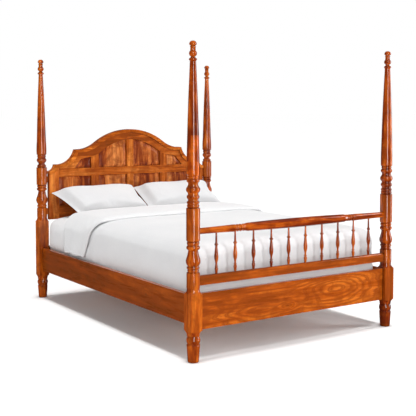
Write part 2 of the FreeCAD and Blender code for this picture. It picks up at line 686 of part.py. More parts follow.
# crest moulding, standing proud in front and behind
moulding = headboard_piece("headboard_crest_moulding")
upper_run = mirrored_run(crest)
lower_run = mirrored_run(under)
back_run = []
for i in range(len(lower_run) - 1, -1, -1):
    x, z, _ = lower_run[i]
    back_run.append((x, z, -lower_run[i - 1][2] if i else 0.0))
sk = outline_sketch(moulding, "moulding_outline", "XZ_Plane", [as_loop(upper_run + back_run)])
moulding.Tip = pad(moulding, "moulding_band", sk, "headboard_thick + 2 * moulding_out")

# ---------------------------------------------------------------- bedding
def rounded_edges(body, name, radius, chosen):
    """Rounds the edges of the body so far that the test picks out."""
    doc.recompute()
    base = body.Tip
    edges = ["Edge%d" % (i + 1) for i, e in enumerate(base.Shape.Edges) if chosen(e.BoundBox)]
    feature = body.newObject("PartDesign::Fillet", name)
    feature.Base = (base, edges)
    bind(feature, "Radius", radius)
    body.Tip = feature
    return feature


def upright(box):
    return box.ZLength > 5 and box.XLength < 0.5 and box.YLength < 0.5


BED_TOP = "ledger_low + ledger_high + slat_thick"
mattress = new_body("mattress")
# beyond the duvet nothing holds it in, and it spreads a little
outline = [("-mattress_half_x", "-mattress_foot", 0.0), ("mattress_half_x", "-mattress_foot", 0.0),
           ("mattress_half_x", "duvet_head + 0.5", 0.0),
           ("mattress_bulge_x", "duvet_head + 5.5", 0.0),
           ("mattress_bulge_x", "mattress_head", 0.0), ("-mattress_bulge_x", "mattress_head", 0.0),
           ("-mattress_bulge_x", "duvet_head + 5.5", 0.0),
           ("-mattress_half_x", "duvet_head + 0.5", 0.0)]
sk = outline_sketch(mattress, "mattress_outline", "XY_Plane", [outline], lift=BED_TOP + " + 0.05")
mattress.Tip = pad(mattress, "mattress_depth", sk, "mattress_top - (%s) - 0.05" % BED_TOP,
                   midplane=False)
rounded_edges(mattress, "mattress_corners", "5",
              lambda box: upright(box) and (box.YMin < -80 or box.YMin > 85))
rounded_edges(mattress, "mattress_edges", "1.8",
              lambda box: box.ZLength < 0.5 and box.XLength + box.YLength > 1)

duvet = new_body("duvet")
block(duvet, "duvet_outer",
      ("2 * duvet_half_x", "duvet_foot + duvet_head", "duvet_top - duvet_low"),
      ("-duvet_half_x", "-duvet_foot", "duvet_low"))
rounded_edges(duvet, "duvet_corners", "4.5",
              lambda box: upright(box) and box.YMin < 0)
block(duvet, "duvet_turn_down",
      ("2 * fold_half_x", "duvet_head - turn_down_front", "turn_down_top - fold_low"),
      ("-fold_half_x", "turn_down_front", "fold_low"))
rounded_edges(duvet, "duvet_shoulder", "3.2",
              lambda box: box.ZLength < 0.5 and box.ZMin > SIZES["duvet_top"] - 0.5
              and (box.YLength > 20 or box.YMin < -60) and box.XLength + box.YLength > 1)
block(duvet, "duvet_hollow",
      ("2 * (mattress_half_x + soft_gap)", "mattress_foot + soft_gap + duvet_head + 1",
       "mattress_top + soft_gap - duvet_low + 1"),
      ("-(mattress_half_x + soft_gap)", "-(mattress_foot + soft_gap)", "duvet_low - 1"),
      cut=True)

for word, x_side in SIDES:
    pillow = new_body("pillow_" + word)
    rest = "mattress_top + soft_gap"
    section = [("pillow_front", rest, 0.10),
               ("pillow_front + pillow_run + 0.5",
                rest + " + pillow_rise", 0.45),
               ("pillow_front + pillow_run - 0.6",
                rest + " + pillow_rise + pillow_edge", 0.10),
               ("pillow_front - 0.1", rest + " + pillow_edge", 0.42)]
    sk = outline_sketch(pillow, pillow.Name + "_section", "YZ_Plane", [section])
    pillow.Tip = pad(pillow, pillow.Name + "_pad", sk, "pillow_long")
    bind(pillow, "Placement.Base.x", "%d * pillow_offset" % x_side)

# ---------------------------------------------------------------- check and write
doc.recompute()
failed = [obj.Name for obj in doc.Objects if "Invalid" in obj.State or "Error" in obj.State]
for body in NODES:
    shape = body.Shape
    if shape.isNull() or not shape.isValid() or len(shape.Solids) != 1:
        failed.append(body.Label)
if failed:
    raise SystemExit("these pieces failed: " + ", ".join(failed))
for body in NODES:
    body.Shape.exportStep("parts/%s.step" % body.Label)
    points = body.Shape.tessellate(0.1)[0]
    spans = ["%.2f to %.2f" % (min(getattr(p, a) for p in points),
                               max(getattr(p, a) for p in points)) for a in "xyz"]
    print("%-34s volume %8.1f  x %s  y %s  z %s" % ((body.Label, body.Shape.Volume) + tuple(spans)))
print(len(NODES), "pieces")
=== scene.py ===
import bpy
import bmesh
import math
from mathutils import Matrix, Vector, noise


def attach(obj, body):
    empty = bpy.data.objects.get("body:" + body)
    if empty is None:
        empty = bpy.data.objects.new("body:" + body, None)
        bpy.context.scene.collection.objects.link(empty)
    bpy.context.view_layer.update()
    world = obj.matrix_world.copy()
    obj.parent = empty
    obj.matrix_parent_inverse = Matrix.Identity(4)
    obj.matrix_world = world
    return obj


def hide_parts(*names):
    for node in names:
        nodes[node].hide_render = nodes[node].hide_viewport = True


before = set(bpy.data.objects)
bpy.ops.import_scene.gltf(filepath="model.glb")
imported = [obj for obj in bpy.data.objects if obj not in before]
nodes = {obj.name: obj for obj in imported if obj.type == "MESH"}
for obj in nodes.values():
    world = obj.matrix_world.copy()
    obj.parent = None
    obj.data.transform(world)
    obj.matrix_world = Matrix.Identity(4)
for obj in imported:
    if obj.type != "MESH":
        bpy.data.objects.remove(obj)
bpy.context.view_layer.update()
scene = bpy.context.scene
MM = 0.001


# ------------------------------------------------------------------ node helpers
PER_MM = (1000.0, 1000.0, 1000.0)  # scale that turns an object's metres into millimetres


class Graph:
    """Short calls for building a material's nodes."""

    def __init__(self, name):
        self.mat = bpy.data.materials.new(name)
        self.mat.use_nodes = True
        self.tree = self.mat.node_tree
        self.tree.nodes.clear()

    def add(self, kind, **inputs):
        """A node with its own settings and its sockets, each given by name."""
        node = self.tree.nodes.new(kind)
        for key, item in inputs.items():
            if hasattr(node, key) and key not in node.inputs:
                setattr(node, key, item)
            else:
                self.feed(node, key, item)
        return node

    def feed(self, node, key, item):
        """Links a socket to another one, or sets it to a plain value."""
        socket = node.inputs[key]
        if isinstance(item, bpy.types.NodeSocket):
            self.tree.links.new(item, socket)
        else:
            socket.default_value = item

    def math(self, operation, a, b=0.0, c=None, clamp=False):
        node = self.tree.nodes.new("ShaderNodeMath")
        node.operation = operation
        node.use_clamp = clamp
        self.feed(node, 0, a)
        self.feed(node, 1, b)
        if c is not None:
            self.feed(node, 2, c)
        return node.outputs[0]

    def vector(self, operation, a, b=(0.0, 0.0, 0.0)):
        node = self.tree.nodes.new("ShaderNodeVectorMath")
        node.operation = operation
        self.feed(node, 0, a)
        self.feed(node, 1, b)
        return node.outputs["Value" if operation == "LENGTH" else "Vector"]

    def mix(self, factor, a, b, blend="MIX"):
        node = self.tree.nodes.new("ShaderNodeMix")
        node.data_type = "RGBA"
        node.blend_type = blend
        self.feed(node, 0, factor)
        self.feed(node, 6, a)
        self.feed(node, 7, b)
        return node.outputs[2]

    def ramp(self, factor, stops):
        """A colour for each value: stops are (value, colour)."""
        node = self.tree.nodes.new("ShaderNodeValToRGB")
        ramp = node.color_ramp
        while len(ramp.elements) < len(stops):
            ramp.elements.new(0.5)
        for element, (place, colour) in zip(ramp.elements, stops):
            element.position = place
            element.color = (*colour, 1.0)
        self.feed(node, 0, factor)
        return node.outputs[0]

    def grey(self, factor, stops):
        return self.ramp(factor, [(p, (v, v, v)) for p, v in stops])

    def place(self, scale, shift=(0, 0, 0)):
        """The place on the object in metres, scaled and then shifted."""
        coord = self.tree.nodes.new("ShaderNodeTexCoord")
        mapping = self.tree.nodes.new("ShaderNodeMapping")
        mapping.inputs["Scale"].default_value = scale
        mapping.inputs["Location"].default_value = shift
        self.tree.links.new(coord.outputs["Object"], mapping.inputs["Vector"])
        return mapping.outputs[0]

    def noise(self, where, scale, detail=4.0, rough=0.55, warp=0.0):
        node = self.add("ShaderNodeTexNoise", Vector=where, Scale=scale, Detail=detail,
                        Roughness=rough, Distortion=warp)
        return node.outputs[0]

    def surface(self, colour, roughness, normal=None, **values):
        """Ends the material in one shader. values are its other inputs, such as IOR."""
        shader = self.add("ShaderNodeBsdfPrincipled")
        self.feed(shader, "Base Color", colour)
        self.feed(shader, "Roughness", roughness)
        if normal is not None:
            self.feed(shader, "Normal", normal)
        for word, value in values.items():
            self.feed(shader, word.replace("_", " "), value)
        self.add("ShaderNodeOutputMaterial", Surface=shader.outputs[0])
        return self.mat


def linear(r, g, b):
    """A colour given as 0-255 display values, as the shader's linear numbers."""
    return tuple((c / 255 / 12.92) if c / 255 <= 0.04045 else ((c / 255 + 0.055) / 1.055) ** 2.4
                 for c in (r, g, b))


# ------------------------------------------------------------------ wood
BRIGHT, WARM = linear(218, 115, 29), linear(173, 72, 8)
DEEP, DARK = linear(112, 34, 2), linear(52, 12, 1)
# the last of these colours is painted shade, laid into corners and hollows
KNOT, EYE_HEART, PAINTED_SHADE = linear(80, 26, 6), linear(76, 24, 6), linear(62, 18, 3)
FIBRE_SCALE = 95.0  # in place of 1000 along the fibres, which draws the figure out


def glued_lengths(g, joints):
    """The tone of each length of upright timber, and how far across the log it was cut."""
    coord = g.tree.nodes.new("ShaderNodeTexCoord")
    split = g.add("ShaderNodeSeparateXYZ", Vector=coord.outputs["Object"])
    tone = slip = 0.0
    for level, change, blur, slide in joints:
        above = g.math("DIVIDE", g.math("SUBTRACT", split.outputs[2], level), blur, clamp=True)
        tone = g.math("MULTIPLY_ADD", above, change, tone)
        slip = g.math("MULTIPLY_ADD", above, slide, slip)
    offset = g.add("ShaderNodeCombineXYZ", X=slip, Y=slip, Z=0.0)
    return tone, offset.outputs[0]


def add_eyes(g, field, eyes):
    """Raises round hills on the height field, and says where their dark hearts are."""
    where = g.place(PER_MM)
    hearts = 0.0
    for centre, reach, rise, dark in eyes:
        away = g.vector("SUBTRACT", where, centre)
        shrunk = g.vector("MULTIPLY", away, tuple(1.0 / r for r in reach))
        square = g.math("POWER", g.vector("LENGTH", shrunk), 2.0)
        hill = g.math("EXPONENT", g.math("MULTIPLY", square, -1.0))
        field = g.math("MULTIPLY_ADD", hill, rise, field)
        hearts = g.math("MULTIPLY_ADD", g.math("POWER", hill, 9.0), dark, hearts)
    return field, hearts


def wood(name, grain, shift=(0, 0, 0), figure=0.5, lines=9.0, joints=(), tone=0.0, eyes=(),
         stain=(1.0, 1.0, 1.0), shade_reach=0.0011, polish=(0.85, 0.10)):
    """Orange-brown stained, lacquered wood. grain is the axis the fibres follow.
    figure is how strong the growth rings show, and lines how many there are. joints are
    where lengths of timber are glued end to end, each (height, change of tone, blur, shift
    across the log), with the height and blur in metres. eyes are swirls in the figure, each
    (centre, reach, rise, darkness of its heart), with the centre and reach in millimetres.
    stain multiplies the colour. The argument after it is how far painted shade reaches out of a
    corner, in metres, and polish is the coat of lacquer and its roughness."""
    g = Graph(name)
    scale = list(PER_MM)
    scale["xyz".index(grain)] = FIBRE_SCALE
    where = g.place(tuple(scale), shift)
    if joints:
        length_tone, slip = glued_lengths(g, joints)
        where = g.vector("ADD", where, slip)
    broad = g.noise(where, 0.050, 2.0, 0.5, 0.3)
    streak = g.noise(where, 0.36, 5.0, 0.62, 0.25)
    fibre = g.noise(where, 2.4, 3.0, 0.7)

    # growth rings are the contour lines of a slow height field
    field = broad
    if eyes:
        field, hearts = add_eyes(g, field, eyes)
    fine = g.math("MULTIPLY_ADD", streak, 0.10, field)
    wave = g.math("SINE", g.math("MULTIPLY", fine, lines * 2 * math.pi))
    rings = g.grey(g.math("MULTIPLY_ADD", wave, 0.5, 0.5),
                   [(0.0, 0.0), (0.50, 0.12), (0.88, 1.0), (1.0, 0.62)])
    body = g.math("ADD", g.math("MULTIPLY", streak, 0.62), g.math("MULTIPLY", broad, 0.50))
    colour = g.ramp(body, [(0.40, DARK), (0.50, DEEP), (0.57, WARM), (0.68, BRIGHT)])
    colour = g.mix(g.math("MULTIPLY", rings, figure), colour, (*DEEP, 1.0))
    colour = g.mix(g.grey(fibre, [(0.54, 0.0), (0.72, 0.38)]), colour, (*DARK, 1.0))
    cell = g.add("ShaderNodeTexVoronoi", Vector=where, Scale=0.045, Randomness=1.0)
    knot = g.grey(cell.outputs["Distance"], [(0.0, 1.0), (0.030, 0.7), (0.07, 0.0)])
    colour = g.mix(g.math("MULTIPLY", knot, 0.55), colour, (*KNOT, 1.0))
    if eyes:
        colour = g.mix(g.math("MINIMUM", hearts, 0.85), colour, (*EYE_HEART, 1.0))

    # the piece's own tone and its stain, which takes unevenly
    if joints:
        lift = g.math("MULTIPLY_ADD", length_tone, 0.26, 1.0)
        colour = g.add("ShaderNodeHueSaturation", Color=colour, Value=lift).outputs[0]
    if tone:
        colour = g.add("ShaderNodeHueSaturation", Color=colour, Value=1.0 + tone).outputs[0]
    colour = g.mix(1.0, colour, (*stain, 1.0), "MULTIPLY")
    turned = (shift[1], shift[2], shift[0])
    blotch = g.noise(g.place(PER_MM, turned), 0.14, 3.0, 0.6, 0.4)
    colour = g.mix(g.grey(blotch, [(0.38, 0.60), (0.56, 0.0)]), colour, (*DEEP, 1.0))

    # painted shade darkens the corners and hollows, and the arrises are rubbed lighter
    geometry = g.tree.nodes.new("ShaderNodeNewGeometry")
    edge = g.grey(geometry.outputs["Pointiness"], [(0.44, 0.0), (0.50, 0.5), (0.57, 1.0)])
    # ambient occlusion darkens the wood where parts meet: this is painted shade
    corner = g.add("ShaderNodeAmbientOcclusion", Distance=shade_reach, samples=8)
    painted_shade = g.grey(corner.outputs["AO"], [(0.42, 0.95), (0.86, 0.0)])
    colour = g.mix(painted_shade, colour, (*PAINTED_SHADE, 1.0))
    colour = g.mix(g.grey(edge, [(0.6, 0.0), (1.0, 0.22)]), colour, (*BRIGHT, 1.0))

    pores = g.math("ADD", g.math("MULTIPLY", fibre, 0.5), g.math("MULTIPLY", streak, 0.5))
    bump = g.add("ShaderNodeBump", Strength=0.10, Distance=0.00008, Height=pores)
    return g.surface(colour, g.grey(streak, [(0.3, 0.24), (0.8, 0.36)]), bump.outputs[0],
                     Coat_Weight=polish[0], Coat_Roughness=polish[1], Coat_IOR=1.5,
                     Specular_IOR_Level=0.03)


def cotton(name, white):
    """White cotton: a fine plain weave, with faint soft creases."""
    g = Graph(name)
    where = g.place(PER_MM)
    soft = g.noise(where, 0.05, 4.0, 0.5)
    nap = g.noise(where, 1.4, 5.0, 0.6)
    colour = g.mix(g.grey(soft, [(0.35, 0.0), (0.65, 1.0)]),
                   (white[0] * 0.965, white[1] * 0.967, white[2] * 0.972, 1.0),
                   (*white, 1.0))
    colour = g.mix(g.grey(nap, [(0.3, 0.22), (0.6, 0.0)]), colour,
                   (white[0] * 0.90, white[1] * 0.90, white[2] * 0.905, 1.0))
    threads = []
    for direction in ("X", "Y", "Z"):
        wave = g.add("ShaderNodeTexWave", Vector=where, Scale=2.2, Distortion=0.6, Detail=1.0,
                     bands_direction=direction)
        threads.append(wave.outputs["Fac"])
    cloth = g.math("MULTIPLY", g.math("ADD", threads[0], threads[2]), threads[1])
    crease = g.noise(where, 0.12, 5.0, 0.62, 0.8)
    height = g.math("ADD", g.math("MULTIPLY", cloth, 0.12), g.math("MULTIPLY", crease, 1.6))
    bump = g.add("ShaderNodeBump", Strength=0.35, Distance=0.0005, Height=height)
    return g.surface(colour, g.grey(nap, [(0.3, 0.92), (0.7, 0.80)]), bump.outputs[0],
                     Sheen_Weight=0.25, Sheen_Roughness=0.5, Specular_IOR_Level=0.2)


# ------------------------------------------------------------------ wooden pieces
POST_LOOK = dict(figure=0.35, tone=0.06)
# The headboard and its panels get a narrower reach of painted corner shade, and the moulding a
# wider one.
HEADBOARD_LOOK = dict(figure=0.45, stain=(1.34, 1.80, 4.2), shade_reach=0.0009, polish=(0.5, 0.2))
post_wood = wood("post_wood", "z", **POST_LOOK)
glued_wood = wood("glued_post_wood", "z", **POST_LOOK, joints=(
    (0.0890, -1.0, 0.001, 0.0), (0.0915, 2.2, 0.005, 0.0), (0.1036, -0.6, 0.0001, 3.0),
    (0.1040, 0.5, 0.003, 0.0), (0.117, -2.9, 0.0001, 9.0), (0.1176, 1.8, 0.005, 0.0)))
upright_wood = wood("upright_wood", "z", shift=(3.0, 7.0, 0.0), figure=0.35)
cross_wood = wood("cross_wood", "x", shift=(0.0, 5.0, 11.0), figure=0.40)
stile_wood = wood("headboard_upright_wood", "z", shift=(1.0, 2.0, 7.0), **HEADBOARD_LOOK)
headboard_wood = wood("headboard_cross_wood", "x", shift=(5.0, 9.0, 2.0), **HEADBOARD_LOOK)
# The moulding is lighter and more orange than the crest rail: a painted highlight along its
# rounded bead.
moulding_wood_with_painted_highlight = wood("moulding_wood_with_painted_highlight", "x", shift=(5.0, 3.0, 6.0), figure=0.35, tone=0.10,
                     stain=(1.30, 1.75, 3.6), shade_reach=0.0014)
foot_wood = wood("foot_rail_wood", "x", shift=(0.0, 2.0, 4.0), figure=0.85, lines=8.5, eyes=(
    ((26.4, -98.0, 26.6), (25.0, 60.0, 7.6), 0.74, 0.0),
    ((-27.0, -98.0, 24.0), (24.0, 60.0, 7.0), 0.55, 0.0),
    ((-58.0, -98.0, 38.0), (22.0, 60.0, 10.0), 0.42, 0.0),
    ((-7.5, -98.0, 22.0), (5.0, 30.0, 2.4), 0.30, 0.9)))
# The side rails are stained darker than the other rails, as painted shade on their long outward
# faces.
side_wood = wood("side_rail_wood", "y", shift=(4.0, 0.0, 9.0), figure=0.62, lines=8.0,
                 stain=(0.56, 0.42, 0.32), eyes=(
    ((-69.0, 7.6, 28.2), (30.0, 6.0, 3.4), 0.40, 0.75),
    ((-69.0, -50.0, 27.0), (30.0, 4.6, 2.8), 0.36, 0.75),
    ((-69.0, -61.5, 27.6), (30.0, 4.0, 2.4), 0.30, 0.6),
    ((69.0, 30.0, 27.0), (30.0, 6.0, 3.2), 0.38, 0.7),
    ((69.0, -44.0, 25.5), (30.0, 9.0, 3.8), 0.40, 0.0)))
panel_wood = wood("panel_wood", "z", shift=(13.0, 1.0, 5.0), figure=0.35,
                  stain=(1.22, 1.66, 5.2), shade_reach=0.0006, polish=(0.3, 0.34))
slat_wood = wood("slat_wood", "x", shift=(9.0, 3.0, 1.0), figure=0.45, stain=(1.5, 2.4, 3.4))


def dress(obj, mat):
    """Gives a node its material, in place of any that it came with."""
    if obj.data.materials:
        for i in range(len(obj.data.materials)):
            obj.data.materials[i] = mat
    else:
        obj.data.materials.append(mat)


for name, obj in nodes.items():
    if name == "post_foot_left":
        dress(obj, glued_wood)
    elif name.startswith("post_"):
        dress(obj, post_wood)
    elif name.startswith("side_rail"):
        dress(obj, side_wood)
    elif name == "foot_rail":
        dress(obj, foot_wood)
    elif name.startswith(("slat", "ledger")):
        dress(obj, slat_wood)
    elif "panel" in name:
        dress(obj, panel_wood)
    elif "muntin" in name or "stile" in name:
        dress(obj, stile_wood)
    elif name == "headboard_crest_moulding":
        dress(obj, moulding_wood_with_painted_highlight)
    elif name.startswith("headboard"):
        dress(obj, headboard_wood)
    elif name.startswith("spindle"):
        dress(obj, upright_wood)
    elif name not in ("mattress", "duvet", "pillow_left", "pillow_right"):
        dress(obj, cross_wood)

# ------------------------------------------------------------------ bedding
FULL = 12.0  # cloth is simulated at the size of a full-size bed, then brought back down
HEADBOARD_FACE = 0.0934  # the most that soft pieces reach back, in metres
sheet_cotton = cotton("sheet_cotton", (0.80, 0.80, 0.805))
cover_cotton = cotton("cover_cotton", (0.79, 0.79, 0.795))
pillow_cotton = cotton("pillow_cotton", (0.70, 0.70, 0.705))


def clip(value, low=0.0, high=1.0):
    return max(low, min(high, value))


def crown(x, y, z):
    """How far the bedding has settled towards the long sides and the foot."""
    side = clip((abs(x) - 36.0) / 31.0) ** 2
    foot = clip((-y - 66.0) / 26.0) ** 2
    return (2.3 * side + 1.0 * foot) * clip((z - 40.0) / 17.0)


def solid(name, points, faces, mat):
    """A smooth mesh object from points in millimetres."""
    mesh = bpy.data.meshes.new(name)
    mesh.from_pydata([tuple(c * MM for c in p) for p in points], [], faces)
    obj = bpy.data.objects.new(name, mesh)
    scene.collection.objects.link(obj)
    work = bmesh.new()
    work.from_mesh(mesh)
    bmesh.ops.recalc_face_normals(work, faces=work.faces)
    work.to_mesh(mesh)
    work.free()
    for face in mesh.polygons:
        face.use_smooth = True
    mesh.materials.append(mat)
    return obj


def rounded(p, low, high, reach, ends):
    """A point on a box, moved onto the same box with rounded edges. ends are the sides
    that have them, such as -y or +z."""
    heart = []
    for i, axis in enumerate("xyz"):
        inner = p[i]
        if "-" + axis in ends:
            inner = max(inner, low[i] + reach[i])
        if "+" + axis in ends:
            inner = min(inner, high[i] - reach[i])
        heart.append(inner)
    away = [(p[i] - heart[i]) / reach[i] for i in range(3)]
    length = math.sqrt(sum(a * a for a in away))
    if length < 1e-9:
        return tuple(p)
    return tuple(heart[i] + away[i] / length * reach[i] for i in range(3))


def lattice(counts, ends):
    """The quads over some sides of a box of unit cells, as corners (i, j, k)."""
    quads = []
    for i, axis in enumerate("xyz"):
        j, k = (i + 1) % 3, (i + 2) % 3
        for sign, level in (("-", 0), ("+", counts[i])):
            if sign + axis not in ends:
                continue
            for a in range(counts[j]):
                for b in range(counts[k]):
                    ring = []
                    for da, db in ((0, 0), (1, 0), (1, 1), (0, 1)):
                        corner = [0, 0, 0]
                        corner[i], corner[j], corner[k] = level, a + da, b + db
                        ring.append(tuple(corner))
                    quads.append(ring if sign == "+" else ring[::-1])
    return quads


def shaped_block(name, low, high, reach, counts, mat, settle):
    """A closed box with rounded edges, its points moved by settle."""
    ends = ("-x", "+x", "-y", "+y", "-z", "+z")
    index, points, faces = {}, [], []
    for quad in lattice(counts, ends):
        face = []
        for corner in quad:
            if corner not in index:
                index[corner] = len(points)
                p = [low[i] + (high[i] - low[i]) * corner[i] / counts[i] for i in range(3)]
                x, y, z = rounded(p, low, high, reach, ends)
                points.append(settle(x, y, z - crown(x, y, z)))
            face.append(index[corner])
        faces.append(face)
    return solid(name, points, faces, mat)


def shaped_shell(name, outer, inner, counts, ends, mat, drape):
    """A padded cover, open where a side isn't in ends. outer and inner are (low, high,
    reach). Returns the object and how many of its points are on the outside."""
    quads = lattice(counts, ends)
    corners = sorted({corner for quad in quads for corner in quad})
    index = {corner: n for n, corner in enumerate(corners)}
    points = []
    for layer, (low, high, reach) in enumerate((outer, inner)):
        for corner in corners:
            p = [low[i] + (high[i] - low[i]) * corner[i] / counts[i] for i in range(3)]
            x, y, z = rounded(p, low, high, reach, ends)
            z -= crown(x, y, z)
            points.append(drape(x, y, z) if layer == 0 else (x, y, z))
    count = len(corners)
    faces, sides = [], {}
    for quad in quads:
        ring = [index[c] for c in quad]
        faces.append(ring)
        faces.append([n + count for n in reversed(ring)])
        for a, b in zip(ring, ring[1:] + ring[:1]):
            key = (min(a, b), max(a, b))
            sides[key] = None if key in sides else (a, b)
    for pair in sides.values():
        if pair:
            a, b = pair
            faces.append([b, a, a + count, b + count])
    return solid(name, points, faces, mat), count


def swell(obj, pressure, cap, pinned=(), slack=0.0, stiff=15.0, bend=0.5, frames=20):
    """Blows a closed cover up as cloth, holding its pinned points, and moves no point by
    more than cap millimetres. slack is the share by which the cloth may grow."""
    start = [v.co.copy() for v in obj.data.vertices]
    for v in obj.data.vertices:
        v.co *= FULL
    cloth = obj.modifiers.new("cloth", "CLOTH")
    cloth.point_cache.frame_start = 1
    cloth.point_cache.frame_end = frames
    rules = cloth.settings
    rules.quality = 5
    rules.mass = 0.3
    rules.tension_stiffness = rules.compression_stiffness = stiff
    rules.shear_stiffness = 5.0
    rules.bending_stiffness = bend
    rules.use_pressure = True
    rules.uniform_pressure_force = pressure
    rules.shrink_min = -slack
    rules.effector_weights.gravity = 0.0
    cloth.collision_settings.use_collision = False
    if pinned:
        group = obj.vertex_groups.new(name="held")
        group.add(list(pinned), 1.0, "REPLACE")
        rules.vertex_group_mass = "held"
    for number in range(1, frames + 1):
        scene.frame_set(number)
    shape = obj.evaluated_get(bpy.context.evaluated_depsgraph_get()).to_mesh()
    ends = [v.co / FULL for v in shape.vertices]
    obj.modifiers.remove(cloth)
    obj.vertex_groups.clear()
    scene.frame_set(1)
    for v, first, last in zip(obj.data.vertices, start, ends):
        step = last - first
        if step.length > cap * MM:
            step *= cap * MM / step.length
        v.co = first + step


def crease(obj, amount, stretch, seed, where=None):
    """Shallow random creases. stretch is their length along each axis, in millimetres."""
    obj.data.update()
    for v in obj.data.vertices:
        p = v.co / MM
        spot = Vector((p.x / stretch[0], p.y / stretch[1], p.z / stretch[2] + seed))
        push = noise.noise(spot) + 0.5 * noise.noise(spot * 2.3) + 0.25 * noise.noise(spot * 4.7)
        if where:
            push *= where(p.x, p.y, p.z)
        v.co += v.normal * (push * amount * MM)


def smooth_out(obj):
    """One level of subdivision, made when the scene is rendered or exported."""
    obj.data.update()
    finer = obj.modifiers.new("finer", "SUBSURF")
    finer.levels = finer.render_levels = 1


# mattress in its fitted sheet: free to swell only where the duvet doesn't cover it
def mattress_spread(x, y, z):
    """Past the duvet the mattress spreads to the rails, and its corners have sunk."""
    out = clip((y - 63.4) / 5.0)
    x *= 1 + 0.025 * out * out * (3 - 2 * out)
    corner = clip((abs(x) - 52.0) / 14.0) * clip((y - 80.0) / 13.0)
    return x, y, z - 2.2 * corner ** 1.5 * clip((z - 42.0) / 14.0)


MATTRESS_LOW, MATTRESS_HIGH = (-64.7, -90.3, 31.2), (64.7, 93.1, 56.9)
MATTRESS_EDGES, MATTRESS_CELLS = (3.8, 3.8, 5.8), (40, 56, 10)
BARE_FROM, UNDERSIDE, MATTRESS_TOP = 0.058, 0.033, 0.05702  # in metres
mattress = shaped_block("mattress_cover", MATTRESS_LOW, MATTRESS_HIGH, MATTRESS_EDGES,
                        MATTRESS_CELLS, sheet_cotton, mattress_spread)
held = [v.index for v in mattress.data.vertices if v.co.y < BARE_FROM or v.co.z < UNDERSIDE]
swell(mattress, 3.0, 0.5, held, slack=0.012)
crease(mattress, 0.22, (16.0, 16.0, 7.0), 3.0,
       lambda x, y, z: clip((y - 58.0) / 6.0) * clip((z - 34.0) / 4.0))
for v in mattress.data.vertices:
    # under the duvet it stays narrow enough for the cover to hang outside it
    widest = 0.0670 if v.co.y > 0.066 else 0.0651
    v.co.x = clip(v.co.x, -widest, widest)
    v.co.y = min(v.co.y, HEADBOARD_FACE)
    v.co.z = min(v.co.z, MATTRESS_TOP)
smooth_out(mattress)
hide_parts("mattress")
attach(mattress, "mattress")

# duvet: a padded cover over the top, both sides and the foot
DUVET_ENDS = ("-x", "+x", "-y", "+z")


def duvet_drape(x, y, z):
    """Loose folds where the cover hangs, and the stitched hem across its foot."""
    low = clip((54.0 - z) / 18.0)
    side = clip((abs(x) - 62.0) / 4.0)
    foot = clip((-86.0 - y) / 4.0)
    near = clip((-52.0 - y) / 34.0)
    wave = math.sin(y * 0.92 + 0.5 * math.sin(y * 0.21)) * (0.15 + 0.85 * near)
    x += math.copysign(0.30 * wave * low * side, x)
    y -= 0.05 * math.sin(x * 0.21 + 1.0) * low * foot
    seam = math.exp(-((z - 37.9) / 0.7) ** 2)
    y += (0.55 * seam - 0.15 * clip((37.5 - z) / 2.0)) * foot
    return x, y, z


DUVET_OUTER = ((-66.6, -91.9, 33.6), (66.6, 61.0, 60.9), (7.0, 6.5, 7.0))
DUVET_INNER = ((-65.25, -90.85, 33.6), (65.25, 61.0, 57.3), (6.0, 5.8, 6.3))
DUVET_CELLS = (46, 52, 30)
DUVET_HEM, DUVET_HEAD = 0.0345, 0.0600  # in metres
duvet, outside = shaped_shell("duvet_cover", DUVET_OUTER, DUVET_INNER, DUVET_CELLS, DUVET_ENDS,
                              cover_cotton, duvet_drape)
held = [v.index for v in duvet.data.vertices
        if v.index >= outside or v.co.z < DUVET_HEM or v.co.y > DUVET_HEAD]
swell(duvet, 2.0, 0.45, held, slack=0.02)
crease(duvet, 0.16, (34.0, 22.0, 20.0), 11.0,
       lambda x, y, z: 1.0 if z > 58.6 or (z > 36.0 and abs(x) > 66.0) else 0.0)
smooth_out(duvet)
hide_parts("duvet")
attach(duvet, "duvet")


# turned-down end of the duvet: a band with a rolled edge towards the pillows
def band_path(share):
    """A point of the band's underside across the bed and the way out from it."""
    half, top, low, reach = 67.15, 61.5, 36.0, 7.2
    run_side, run_top = top - low, 2 * half
    total = 2 * run_side + run_top

    def at(s):
        d = clip(s) * total
        if d < run_side:
            p = (-half, 0.0, low + d)
        elif d < run_side + run_top:
            p = (-half + d - run_side, 0.0, top)
        else:
            p = (half, 0.0, top - (d - run_side - run_top))
        x, _, z = rounded(p, (-half, -1, low), (half, 1, top), (reach, 1, reach),
                          ("-x", "+x", "+z"))
        return x, z - crown(x, 0.0, z)

    x, z = at(share)
    ax, az = at(share - 0.004)
    bx, bz = at(share + 0.004)
    run = math.hypot(bx - ax, bz - az)
    return x, z, -(bz - az) / run, (bx - ax) / run


def band_loops(along):
    """The outer and the inner way from the band's hem to its rolled edge. Each point is
    (share of the way, height above the cover)."""
    over = [(n / along, 1.6) for n in range(along + 1)]
    roll = [(1.045, 1.2), (1.06, 0.1), (1.06, -1.2), (1.052, -2.4)]
    under = [(n / along, 0.0) for n in range(along + 1)]
    back = [(1.012, 0.0), (1.022, -0.6), (1.026, -1.5), (1.03, -2.3)]
    return over + roll, under + back


